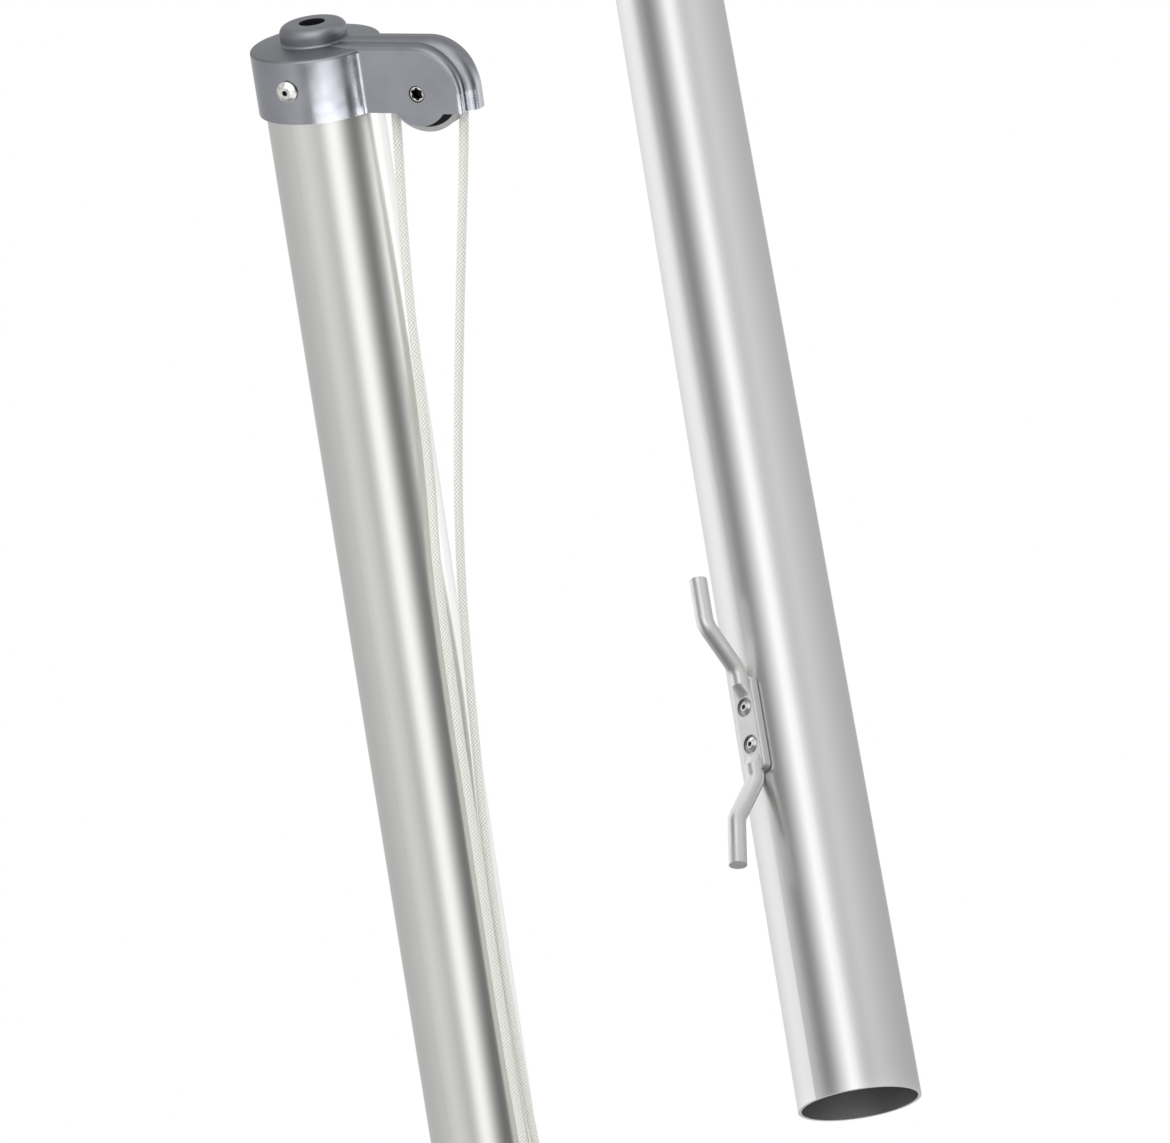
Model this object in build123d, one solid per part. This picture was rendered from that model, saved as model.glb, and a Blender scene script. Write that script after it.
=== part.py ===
from build123d import *
import math
import os

# Halyard flagpole: aluminium tube, cast cap truck with one sheave, rod cleat and a braided halyard.
# Origin: centre of the tube's open foot end. +Z up the pole, +X towards the truck's arm and the cleat.
# Lengths in millimetres.

os.makedirs("parts", exist_ok=True)

# Pole tube
TUBE_LENGTH = 2438.0  # 8 ft
TUBE_OD = 60.3
TUBE_WALL = 1.65

# Truck cap, a sleeve over the tube's top with a low crown and a finial boss
CAP_WALL = 3.25
SOCKET_CLEARANCE = 0.15
SOCKET_DEPTH = 30.0
CROWN_THICKNESS = 2.8  # socket floor to the shoulder
CROWN_RISE = 1.8
SHOULDER_FILLET = 1.4
BOSS_RADIUS = 17.3
BOSS_HEIGHT = 9.0
BOSS_FOOT_FILLET = 1.4
BOSS_TOP_FILLET = 4.4
FINIAL_HOLE_RADIUS = 6.35
FINIAL_HOLE_CHAMFER = 0.5

# Truck arm: a cheek each side of the sheave, a lobe below each, and a round hood over the wheel
AXLE_HEIGHT = 10.15  # above the cap's lower edge
CHEEK_RISE = 2.1  # cheeks' top above the shoulder
CHEEK_THICKNESS = 6.7
CHEEK_EDGE_FILLET = 3.2
LOBE_SETBACK = 5.2  # sheave's flange beyond the lobes
HOOD_WALL = 3.0
HOOD_SIDE = 1.15  # hood's side beyond the slot, at its base
HOOD_CREST = 0.6  # half of the flat that is left along the hood's middle
HOOD_OVERHANG = 3.0  # centre of the hood's round end, beyond the axle
SLOT_GAP = 4.45  # cap's surface to the slot
SLOT_EDGE_CHAMFER = 1.6
SLOT_START_FILLET = 6.0
ARM_ROOT_FILLET = 3.0

# Sheave and its axle
ROPE_DIAMETER = 5.0
SHEAVE_WIDTH = 10.0
SHEAVE_PITCH_RADIUS = 20.2  # axle to the rope's middle
SHEAVE_LIP = 1.8  # flange beyond the rope's middle
SHEAVE_SIDE_CLEARANCE = 0.75
SHEAVE_RIM_CLEARANCE = 1.6
SHEAVE_RIM = 2.6
SHEAVE_HUB_RADIUS = 8.0
SHEAVE_WEB_RECESS = 1.2
AXLE_RADIUS = 3.175
RUNNING_CLEARANCE = 0.08
AXLE_HEAD_RADIUS = 4.3
AXLE_HEAD_DEPTH = 3.0
AXLE_HEAD_SINK = 0.3
AXLE_HEX = 4.4
NUT_ACROSS_FLATS = 11.1
NUT_HEIGHT = 5.5
AXLE_PROUD = 1.0  # bolt end beyond the nut

# Screws through the cap into the tube
CAP_SCREW_HEIGHT = 17.4
CAP_SCREW_RADIUS = 2.9
CAP_SCREW_HEAD_RADIUS = 5.5
CAP_SCREW_HEAD_HEIGHT = 3.0
CAP_SCREW_HEX = 2.8

# Rod cleat
CLEAT_HEIGHT = 191.9
CLEAT_LENGTH = 153.6
ROD_DIAMETER = 9.0
PLATE_LENGTH = 51.0
PLATE_WIDTH = 14.5
PLATE_THICKNESS = 4.4
PLATE_GAP = 0.05
PLATE_CORNER = 4.0
PLATE_EDGE_FILLET = 1.2
ROD_BLEND = 6.0  # length over which the flat middle turns into round rod
HORN_REACH = 22.8  # tube surface to the middle of a horn
BEND_START = 29.0
BEND_END = 52.0
BEND_RADIUS = 11.0
LOWER_TIP_FLARE = 4.35
CLEAT_SCREW_SPACING = 20.0
CLEAT_SCREW_RADIUS = 2.1
CLEAT_SCREW_HEAD_RADIUS = 3.8
CLEAT_SCREW_HEAD_HEIGHT = 2.2
CLEAT_SCREW_HEX = 2.4
RECESS_RADIUS = 4.9
RECESS_DEPTH = 1.7

# General fits
SCREW_CLEARANCE = 0.1
SOFT_GAP = 0.3
ROPE_REST = 0.35  # rope to the tube where it lies on it

# Put-away hank of halyard, tied to the pole
HANK_TURN_RADIUS = 30.6  # outermost turn, to the rope's middle
HANK_INNER_RADIUS = 12.5
HANK_STRAIGHT = 45.0
HANK_DEPTH = 21.0
HANK_TOP = -790.0  # middle of the upper turns, from the cap's lower edge
HANK_EDGE_CHAMFER = 1.8
KNOT_RADIUS = 8.5
KNOT_HEIGHT = 19.0
STRAP_WIDTH = 14.0
STRAP_THICKNESS = 1.4
STRAP_DROP = 22.0  # strap's middle below the middle of the upper turns

tube_radius = TUBE_OD / 2
bore_radius = tube_radius - TUBE_WALL
cap_base = TUBE_LENGTH - SOCKET_DEPTH
socket_radius = tube_radius + SOCKET_CLEARANCE
cap_radius = socket_radius + CAP_WALL
shoulder_height = SOCKET_DEPTH + CROWN_THICKNESS
flange_radius = SHEAVE_PITCH_RADIUS + SHEAVE_LIP
slot_reach = flange_radius + SHEAVE_RIM_CLEARANCE  # axle to the slot's roof and to its inner end
axle_x = cap_radius + SLOT_GAP + slot_reach
axle_z = cap_base + AXLE_HEIGHT
cheek_top = shoulder_height + CHEEK_RISE - AXLE_HEIGHT  # above the axle
arm_start = 0.63 * BOSS_RADIUS - axle_x  # inside the boss
slot_width = SHEAVE_WIDTH + 2 * SHEAVE_SIDE_CLEARANCE
arm_width = slot_width + 2 * CHEEK_THICKNESS
lobe_radius = flange_radius - LOBE_SETBACK
hood_radius = slot_reach + HOOD_WALL
hood_width = slot_width + 2 * HOOD_SIDE
rope_radius = ROPE_DIAMETER / 2
cap_screw_z = cap_base + CAP_SCREW_HEIGHT


def solid_of(shape):
    """The single solid in a shape."""
    solids = shape.solids()
    return solids[0] if len(solids) == 1 else Compound(children=list(solids))


def pole_tube():
    tube = Cylinder(tube_radius, TUBE_LENGTH, align=(Align.CENTER, Align.CENTER, Align.MIN))
    tube -= Cylinder(bore_radius, TUBE_LENGTH, align=(Align.CENTER, Align.CENTER, Align.MIN))
    for z in cleat_screw_heights():
        tube -= radial_rod(0, z, bore_radius - 2, tube_radius + 2, CLEAT_SCREW_RADIUS + SCREW_CLEARANCE)
    for turn in (-90, 90):
        tube -= radial_rod(turn, cap_screw_z, bore_radius - 2, tube_radius + 2,
                           CAP_SCREW_RADIUS + SCREW_CLEARANCE)
    return tube


def radial_rod(turn, z, start, end, radius):
    """A rod that points away from the pole's axis, turned about it from +X."""
    rod = Cylinder(radius, end - start, align=(Align.CENTER, Align.CENTER, Align.MIN))
    return Rot(0, 0, turn) * (Pos(start, 0, z) * (Rot(0, 90, 0) * rod))


def cleat_screw_heights():
    return [CLEAT_HEIGHT + side * CLEAT_SCREW_SPACING / 2 for side in (1, -1)]


def cap_profile():
    """Half section of the cap, its crown and the finial boss, in the XZ plane."""
    crown = shoulder_height + CROWN_RISE
    boss_top = crown + BOSS_HEIGHT
    mouth = FINIAL_HOLE_RADIUS + FINIAL_HOLE_CHAMFER
    outside = FilletPolyline((cap_radius, 0), (cap_radius, shoulder_height), (BOSS_RADIUS, crown),
                             (BOSS_RADIUS, boss_top), (mouth, boss_top),
                             radius=[SHOULDER_FILLET, BOSS_FOOT_FILLET, BOSS_TOP_FILLET])
    inside = Polyline((mouth, boss_top), (FINIAL_HOLE_RADIUS, boss_top - FINIAL_HOLE_CHAMFER),
                      (FINIAL_HOLE_RADIUS, SOCKET_DEPTH), (socket_radius, SOCKET_DEPTH),
                      (socket_radius, 0), (cap_radius, 0))
    return Plane.XZ * make_face(outside.edges() + inside.edges())


def arm_outline(start, floor, top, overhang):
    """Side view about the axle: level top, round outer end, straight down to the floor."""
    corner = top * math.sqrt(0.5)
    return make_face([
        Line((start, floor), (start, top)),
        Line((start, top), (overhang, top)),
        ThreePointArc((overhang, top), (overhang + corner, corner), (overhang + top, 0)),
        Line((overhang + top, 0), (overhang + top, floor)),
        Line((overhang + top, floor), (start, floor)),
    ])


def about_axle(face, width):
    """Extrudes a side-view face to both sides of the arm's middle plane."""
    plane = Plane(origin=(axle_x, 0, axle_z), x_dir=(1, 0, 0), z_dir=(0, -1, 0))
    return extrude(plane * face, width / 2, both=True)


def side_rim(solid):
    """The side edges of an extruded outline, but not those on its floor or inner end."""
    box = solid.bounding_box()
    return [edge for edge in solid.edges()
            if abs(abs(edge.center().Y) - box.max.Y) < 0.01
            and edge.center().Z > box.min.Z + 0.01 and edge.center().X > box.min.X + 0.01]


def sheave_slot():
    """Space for the sheave and both falls of rope, open below."""
    outline = arm_outline(-slot_reach, -lobe_radius - 2, slot_reach, HOOD_OVERHANG)
    top_corner = outline.vertices().sort_by(Axis.X)[:2].sort_by(Axis.Y)[-1]
    slot = about_axle(fillet(top_corner, SLOT_START_FILLET), slot_width)
    return chamfer(side_rim(slot), SLOT_EDGE_CHAMFER)


def arm_root():
    """Plan of the cap's wall with the arm's root blended into it, up to the shoulder."""
    plan = Circle(cap_radius) + Pos(axle_x / 2, 0) * Rectangle(axle_x, arm_width)
    corners = [vertex for vertex in plan.vertices()
               if vertex.X < cap_radius and abs(abs(vertex.Y) - arm_width / 2) < 0.01]
    wall = fillet(corners, ARM_ROOT_FILLET) - Circle(socket_radius)
    return Pos(0, 0, cap_base) * extrude(wall, shoulder_height - SHOULDER_FILLET)


def truck_body():
    cap = Pos(0, 0, cap_base) * revolve(cap_profile(), Axis.Z)
    cheeks = about_axle(arm_outline(arm_start, -AXLE_HEIGHT, cheek_top, 0), arm_width)
    hood = about_axle(arm_outline(arm_start, -AXLE_HEIGHT, hood_radius, HOOD_OVERHANG), hood_width)
    arm = fillet(side_rim(cheeks), CHEEK_EDGE_FILLET) + fillet(side_rim(hood), hood_width / 2 - HOOD_CREST)
    arm += across_arm(-arm_width / 2, arm_width / 2, lobe_radius)
    arm += arm_root()
    arm -= Pos(0, 0, cap_base - 10) * Cylinder(socket_radius + 1, SOCKET_DEPTH + 11,
                                               align=(Align.CENTER, Align.CENTER, Align.MIN))
    body = cap + arm
    body -= sheave_slot()
    for turn in (-90, 90):
        body -= radial_rod(turn, cap_screw_z, tube_radius - 2, cap_radius + 2,
                           CAP_SCREW_RADIUS + SCREW_CLEARANCE)
    body -= across_arm(-arm_width, arm_width, AXLE_RADIUS + SCREW_CLEARANCE)
    head_floor = -arm_width / 2 + AXLE_HEAD_SINK + AXLE_HEAD_DEPTH
    body -= across_arm(-arm_width, head_floor, AXLE_HEAD_RADIUS + SCREW_CLEARANCE)
    return body


def across_arm(start, end, radius):
    """A rod along the axle's line, from one y to another."""
    rod = Cylinder(radius, end - start, align=(Align.CENTER, Align.CENTER, Align.MIN))
    return Pos(axle_x, start, axle_z) * (Rot(-90, 0, 0) * rod)


def sheave():
    """Grooved wheel with a recessed web, turned about the axle."""
    half = SHEAVE_WIDTH / 2
    web = half - SHEAVE_WEB_RECESS
    rim = flange_radius - SHEAVE_RIM
    groove = rope_radius + SOFT_GAP
    lip = half - 1.2
    bore = AXLE_RADIUS + RUNNING_CLEARANCE
    near_side = Polyline((SHEAVE_PITCH_RADIUS, -groove), (flange_radius, -lip), (flange_radius, -half),
                         (rim, -half), (rim, -web), (SHEAVE_HUB_RADIUS, -web), (SHEAVE_HUB_RADIUS, -half),
                         (bore, -half), (bore, 0))
    round_bottom = ThreePointArc((SHEAVE_PITCH_RADIUS, -groove), (SHEAVE_PITCH_RADIUS - groove, 0),
                                 (SHEAVE_PITCH_RADIUS, groove))
    outline = near_side.edges() + mirror(near_side, Plane.XZ).edges() + [round_bottom]
    return Pos(axle_x, 0, axle_z) * revolve(make_face(outline), Axis.Y)


def hex_socket(across_flats, depth):
    return extrude(RegularPolygon(across_flats / 2, 6, major_radius=False), depth)


def button_screw(radius, head_radius, head_height, across_flats, length):
    """Button-head screw, its head's seat at the origin and its shank below."""
    head = Cylinder(head_radius, head_height, align=(Align.CENTER, Align.CENTER, Align.MIN))
    head = chamfer(head.edges().sort_by(Axis.Z)[-1], head_height * 0.55, head_height * 0.8)
    head -= Pos(0, 0, head_height * 0.4) * hex_socket(across_flats, head_height)
    return head + Cylinder(radius, length, align=(Align.CENTER, Align.CENTER, Align.MAX))


def axle_bolt():
    head_outer = -arm_width / 2 + AXLE_HEAD_SINK
    head_floor = head_outer + AXLE_HEAD_DEPTH
    end = arm_width / 2 + NUT_HEIGHT + AXLE_PROUD
    bolt = across_arm(head_outer, head_floor, AXLE_HEAD_RADIUS)
    bolt = chamfer(bolt.edges().sort_by(Axis.Y)[0], 0.5)
    bolt += across_arm(head_floor, end, AXLE_RADIUS)
    return bolt - Pos(axle_x, head_outer, axle_z) * (Rot(-90, 0, 0) * hex_socket(AXLE_HEX, 2))


def axle_nut():
    nut = Rot(-90, 0, 0) * hex_socket(NUT_ACROSS_FLATS, NUT_HEIGHT)
    return Pos(axle_x, arm_width / 2, axle_z) * nut - across_arm(0, arm_width, AXLE_RADIUS + 0.02)


def cap_screw(turn):
    """Screw through the cap and the tube's wall."""
    seat = cap_radius + 0.02
    screw = button_screw(CAP_SCREW_RADIUS, CAP_SCREW_HEAD_RADIUS, CAP_SCREW_HEAD_HEIGHT, CAP_SCREW_HEX,
                         seat - bore_radius)
    return Rot(0, 0, turn) * (Pos(seat, 0, cap_screw_z) * (Rot(0, 90, 0) * screw))


def cleat_path(side, start):
    """Middle line of one horn, from the plate out to its tip."""
    inner = tube_radius + PLATE_GAP + ROD_DIAMETER / 2
    outer = tube_radius + HORN_REACH
    flare = LOWER_TIP_FLARE if side < 0 else 0.01
    points = [
        (inner, 0, CLEAT_HEIGHT + side * start),
        (inner, 0, CLEAT_HEIGHT + side * BEND_START),
        (outer, 0, CLEAT_HEIGHT + side * BEND_END),
        (outer + flare, 0, CLEAT_HEIGHT + side * CLEAT_LENGTH / 2),
    ]
    return FilletPolyline(*points, radius=BEND_RADIUS)


def cleat():
    """Round rod bent to two horns, with its middle pressed into a flat plate."""
    inner = tube_radius + PLATE_GAP + PLATE_THICKNESS / 2
    outer = inner + PLATE_THICKNESS / 2
    blend_start = CLEAT_SCREW_SPACING / 2 + RECESS_RADIUS + 0.3
    plate = Pos(inner, 0, CLEAT_HEIGHT) * Box(PLATE_THICKNESS, PLATE_WIDTH, PLATE_LENGTH)
    plate = fillet(plate.edges().filter_by(Axis.X), PLATE_CORNER)
    body = fillet(plate.faces().sort_by(Axis.X)[-1].edges(), PLATE_EDGE_FILLET)
    for side in (1, -1):
        path = cleat_path(side, blend_start + ROD_BLEND)
        round_plane = Plane(origin=path @ 0, x_dir=(1, 0, 0), z_dir=(0, 0, side))
        flat_plane = Plane(origin=(inner, 0, CLEAT_HEIGHT + side * blend_start), x_dir=(1, 0, 0),
                           z_dir=(0, 0, side))
        round_end = round_plane * Circle(ROD_DIAMETER / 2)
        flat_end = flat_plane * RectangleRounded(PLATE_THICKNESS, ROD_DIAMETER, PLATE_EDGE_FILLET)
        body += sweep(round_end, path)
        body += loft([flat_end, round_end])
    for z in cleat_screw_heights():
        body -= radial_rod(0, z, tube_radius - 1, outer + 3, CLEAT_SCREW_RADIUS + SCREW_CLEARANCE)
        body -= radial_rod(0, z, outer - RECESS_DEPTH, outer + 3, RECESS_RADIUS)
    return body


def cleat_screw(z):
    """Screw with its head in a recess of the cleat's plate."""
    seat = tube_radius + PLATE_GAP + PLATE_THICKNESS - RECESS_DEPTH
    screw = button_screw(CLEAT_SCREW_RADIUS, CLEAT_SCREW_HEAD_RADIUS, CLEAT_SCREW_HEAD_HEIGHT,
                         CLEAT_SCREW_HEX, seat - bore_radius)
    return Pos(seat, 0, z) * (Rot(0, 90, 0) * screw)


def halyard_points():
    """Middle line of the halyard outside its hank. Heights are from the cap's lower edge."""
    pitch = SHEAVE_PITCH_RADIUS
    corner = pitch * math.tan(math.radians(22.5))
    on_pole = tube_radius + rope_radius + ROPE_REST
    near = axle_x - pitch - on_pole  # how far each fall starts from the pole's side
    far = axle_x + pitch - on_pole
    outer_layer = HANK_DEPTH - ROPE_DIAMETER - 0.4
    hank_side = HANK_TURN_RADIUS
    hank_end = HANK_TOP + 18.1
    near_fall = [
        (0.0, -hank_side, hank_end),
        (0.0, 1.0 - hank_side, HANK_TOP + 50.0),
        (0.0, -21.0, HANK_TOP + 84.0),
        (0.0, -9.0, HANK_TOP + 122.0),
        (0.1, -3.4, HANK_TOP + 168.0),
        (0.0, -3.0, -510.0),
        (0.0, -2.8, -270.0),
        (0.0, -2.7, -130.0),
        (0.3 * near, -1.2, -70.0),
        (0.99 * near, 0.0, -4.0),
    ]
    wheel = axle_x - on_pole
    over_sheave = [
        (wheel - pitch, 0.0, AXLE_HEIGHT + corner),
        (wheel - corner, 0.0, AXLE_HEIGHT + pitch),
        (wheel + corner, 0.0, AXLE_HEIGHT + pitch),
        (wheel + pitch, 0.0, AXLE_HEIGHT + corner),
        (wheel + pitch, 0.0, AXLE_HEIGHT - pitch * 0.09),
    ]
    far_fall = [
        (0.9 * far, 0.2, -24.0),
        (0.582 * far, 0.9, -107.0),
        (0.24 * far, 1.8, -204.0),
        (0.09 * far, 2.5, -265.0),
        (0.012 * far, 3.0, -325.0),
        (0.0, 3.0, -400.0),
        (0.0, 3.1, -520.0),
        (0.3, 3.8, HANK_TOP + 165.0),
        (3.8, 10.5, HANK_TOP + 114.0),
        (10.4, 22.0, HANK_TOP + 76.0),
        (outer_layer - 0.4, hank_side - 0.8, HANK_TOP + 46.0),
        (outer_layer, hank_side, hank_end),
    ]
    points = near_fall + over_sheave + far_fall
    return [Vector(on_pole + x, y, cap_base + z) for x, y, z in points]


def corner_radii(points):
    """The largest radius that each corner's two runs allow."""
    radii = []
    for before, here, after in zip(points, points[1:], points[2:]):
        first = here - before
        second = after - here
        half_turn = math.radians(first.get_angle(second)) / 2
        radii.append(0.45 * min(first.length, second.length) / math.tan(half_turn))
    return radii


def halyard():
    """Round rope over the sheave and down both falls."""
    points = halyard_points()
    radii = corner_radii(points)
    print("halyard corner radii", [round(radius, 1) for radius in radii])
    path = FilletPolyline(*points, radius=radii)
    section = Plane(origin=path @ 0, z_dir=path % 0) * Circle(rope_radius)
    rope = sweep(section, path)
    print("halyard volume over section times length",
          round(rope.volume / (math.pi * rope_radius ** 2 * path.length), 4), "length", round(path.length, 1))
    return rope


def halyard_hank():
    """Outer shape of the wound turns: a flat oval ring against the pole."""
    outer = HANK_TURN_RADIUS + rope_radius
    back = tube_radius + SOFT_GAP
    face = SlotCenterToCenter(HANK_STRAIGHT, 2 * outer)
    face -= SlotCenterToCenter(HANK_STRAIGHT, 2 * HANK_INNER_RADIUS)
    plane = Plane(origin=(back, 0, cap_base + HANK_TOP - HANK_STRAIGHT / 2), x_dir=(0, 0, 1), z_dir=(1, 0, 0))
    ring = extrude(plane * face, HANK_DEPTH)
    return chamfer(ring.edges().filter_by(lambda edge: abs(edge.center().X - back) < 0.01
                                          or abs(edge.center().X - back - HANK_DEPTH) < 0.01),
                   HANK_EDGE_CHAMFER)


def halyard_knot():
    """The two rope ends tied together, above the hank."""
    top = cap_base + HANK_TOP + HANK_TURN_RADIUS + rope_radius + SOFT_GAP
    knot = Cylinder(KNOT_RADIUS, KNOT_HEIGHT, align=(Align.CENTER, Align.CENTER, Align.MIN))
    knot = chamfer(knot.edges(), KNOT_RADIUS * 0.3)
    return Pos(tube_radius + SOFT_GAP + HANK_DEPTH / 2, 0, top) * knot


def hank_strap():
    """Flat strap round the pole and the hank."""
    back = tube_radius + SOFT_GAP
    half_width = HANK_TURN_RADIUS + rope_radius
    block = Pos(back + HANK_DEPTH / 2, 0) * RectangleRounded(HANK_DEPTH, 2 * half_width, HANK_EDGE_CHAMFER)
    hull = make_hull((Circle(tube_radius).edges() + block.edges()))
    inner = offset(hull, SOFT_GAP)
    outer = offset(hull, SOFT_GAP + STRAP_THICKNESS)
    z = cap_base + HANK_TOP - STRAP_DROP - STRAP_WIDTH / 2
    return Pos(0, 0, z) * extrude(outer - inner, STRAP_WIDTH)


pieces = {
    "pole_tube": pole_tube(),
    "truck_body": truck_body(),
    "sheave": sheave(),
    "axle_bolt": axle_bolt(),
    "axle_nut": axle_nut(),
    "cap_screw_near": cap_screw(-90),
    "cap_screw_far": cap_screw(90),
    "cleat": cleat(),
    "halyard": halyard(),
    "halyard_hank": halyard_hank(),
    "halyard_knot": halyard_knot(),
    "hank_strap": hank_strap(),
}
for name, z in zip(("cleat_screw_upper", "cleat_screw_lower"), cleat_screw_heights()):
    pieces[name] = cleat_screw(z)

for name, piece in pieces.items():
    export_step(solid_of(piece), f"parts/{name}.step")
    print(name, len(piece.solids()), round(piece.volume, 1))
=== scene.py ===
# Halyard flagpole: aluminium tube, cast truck, sheave, rod cleat and a braided halyard, its spare
# length put away in a hank. Metres, +Z up the pole, +X towards the truck's arm and the cleat.
import math

import bpy
from mathutils import Matrix, Vector, geometry


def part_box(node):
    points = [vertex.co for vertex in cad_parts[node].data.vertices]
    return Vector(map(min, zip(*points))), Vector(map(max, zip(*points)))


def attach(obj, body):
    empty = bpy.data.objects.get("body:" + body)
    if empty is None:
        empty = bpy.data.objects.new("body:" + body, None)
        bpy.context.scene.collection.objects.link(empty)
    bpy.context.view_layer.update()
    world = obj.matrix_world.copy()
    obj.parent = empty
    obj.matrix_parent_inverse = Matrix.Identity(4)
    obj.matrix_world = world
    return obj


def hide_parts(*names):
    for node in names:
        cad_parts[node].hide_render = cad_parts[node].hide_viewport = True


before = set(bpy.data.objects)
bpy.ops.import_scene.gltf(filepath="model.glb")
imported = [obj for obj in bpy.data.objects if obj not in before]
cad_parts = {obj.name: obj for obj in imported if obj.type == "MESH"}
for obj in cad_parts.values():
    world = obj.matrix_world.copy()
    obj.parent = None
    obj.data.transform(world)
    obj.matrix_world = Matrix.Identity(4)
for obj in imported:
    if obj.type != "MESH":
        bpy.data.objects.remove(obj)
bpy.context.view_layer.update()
print("frame loaded")

axleLow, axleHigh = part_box("sheave")
axleX = (axleLow[0] + axleHigh[0]) / 2
axleZ = (axleLow[2] + axleHigh[2]) / 2
axleRise = 0.01015  # the axle's height above the cap's lower edge
capBase = axleZ - axleRise
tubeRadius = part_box("pole_tube")[1][0]


def toLinear(hexColour):
    value = hexColour.lstrip("#")
    channels = [int(value[i:i + 2], 16) / 255 for i in (0, 2, 4)]
    return [c / 12.92 if c < 0.04045 else ((c + 0.055) / 1.055) ** 2.4 for c in channels] + [1.0]


# adds one node, sets what it is given and links the sockets named in links
def addNode(tree, kind, settings=None, inputs=None, links=None):
    node = tree.nodes.new(kind)
    for name, value in (settings or {}).items():
        setattr(node, name, value)
    for name, value in (inputs or {}).items():
        node.inputs[name].default_value = value
    for name, socket in (links or {}).items():
        tree.links.new(socket, node.inputs[name])
    return node


# settings that many nodes share; most values of a noise lie in noiseSpan
multiply, multiplyAdd = {"operation": "MULTIPLY"}, {"operation": "MULTIPLY_ADD"}
absolute, lessThan = {"operation": "ABSOLUTE"}, {"operation": "LESS_THAN"}
smoothStep, vectorLength = {"interpolation_type": "SMOOTHSTEP"}, {"operation": "LENGTH"}
mixColours, shadeColour = {"data_type": "RGBA"}, {"data_type": "RGBA", "blend_type": "MULTIPLY"}
noiseSpan = {"From Min": 0.3, "From Max": 0.7}


# an empty material and its tree
def newMaterial(name):
    material = bpy.data.materials.new(name)
    material.use_nodes = True
    material.node_tree.nodes.clear()
    return material, material.node_tree


def addToScene(name, data):
    holder = bpy.data.objects.new(name, data)
    bpy.context.scene.collection.objects.link(holder)
    return holder


# Two views at once: the pole's top directly, and its foot through a pane in front of the lens.
# place is where the target falls, in frame widths from the middle; distance is in metres and
# focal in frame widths.
viewOfTop = {
    "target": (0.0, 0.0, capBase), "azimuth": 28.32, "elevation": 22.69, "roll": 7.69,
    "distance": 2.11275, "focal": 3.53540, "place": (-0.22268, 0.39925),
}
viewOfFoot = {
    "target": (0.0, 0.0, 0.0), "azimuth": 135.853, "elevation": -23.883, "roll": 8.324,
    "distance": 1.51657, "focal": 2.68748, "place": (0.23490, -0.45492),
}


def viewMatrix(view):
    azimuth, elevation, roll = (math.radians(view[name])
                                for name in ("azimuth", "elevation", "roll"))
    back = Vector((math.sin(azimuth) * math.cos(elevation),
                   -math.cos(azimuth) * math.cos(elevation), math.sin(elevation)))
    right = Vector((math.cos(azimuth), math.sin(azimuth), 0))
    up = back.cross(right)
    across = math.cos(roll) * right - math.sin(roll) * up
    upward = math.sin(roll) * right + math.cos(roll) * up
    reach = view["distance"] / view["focal"]
    lens = Vector(view["target"]) + back * view["distance"]
    lens -= (across * view["place"][0] + upward * view["place"][1]) * reach
    matrix = Matrix((across, upward, back)).transposed().to_4x4()
    matrix.translation = lens
    return matrix


cameraData = bpy.data.cameras.new("camera")
cameraData.sensor_width = 36.0
cameraData.lens = viewOfTop["focal"] * cameraData.sensor_width
cameraData.clip_start = 0.001
camera = addToScene("camera", cameraData)
camera.matrix_world = viewMatrix(viewOfTop)
bpy.context.scene.camera = camera

# the pane stands two centimetres before the lens and covers the right half of its view
pane = {"distance": 0.02, "left": -0.0062, "right": 0.56, "half": 0.56}
paneScale = pane["distance"] / viewOfTop["focal"]
corners = ((pane["left"], -pane["half"]), (pane["right"], -pane["half"]),
           (pane["right"], pane["half"]), (pane["left"], pane["half"]))
paneMesh = bpy.data.meshes.new("lensPane")
paneMesh.from_pydata([(x * paneScale, y * paneScale, -pane["distance"]) for x, y in corners],
                     [], [(0, 1, 2, 3)])
lensPane = addToScene("lensPane", paneMesh)
lensPane.matrix_world = camera.matrix_world
lensPane.visible_diffuse = lensPane.visible_glossy = lensPane.visible_transmission = False
lensPane.visible_shadow = lensPane.visible_volume_scatter = False

footLens = viewMatrix(viewOfFoot)
stretch = viewOfTop["focal"] / viewOfFoot["focal"]
paneMaterial, tree = newMaterial("lensPane")
inPane = addNode(tree, "ShaderNodeTexCoord")
turned = addNode(tree, "ShaderNodeMapping", {"vector_type": "VECTOR"},
    {"Rotation": footLens.to_euler(), "Scale": (stretch, stretch, 1.0)},
    {"Vector": inPane.outputs["Object"]})
footPlace = addNode(tree, "ShaderNodeCombineXYZ", None, dict(zip("XYZ", footLens.translation)))
portal = addNode(tree, "ShaderNodeBsdfRayPortal", None, None,
    {"Position": footPlace.outputs["Vector"], "Direction": turned.outputs["Vector"]})
addNode(tree, "ShaderNodeOutputMaterial", None, None, {"Surface": portal.outputs["BSDF"]})
paneMesh.materials.append(paneMaterial)
print("camera and pane placed")

# Halyard: 5 mm braid over the sheave, its spare length wound in a hank against the pole.
halyardRope = {
    "diameter": 0.005,
    "crowns": 8,  # humps of the braid round the rope
    "crownPitch": 0.0024,
    "relief": 0.00016,
}
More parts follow.
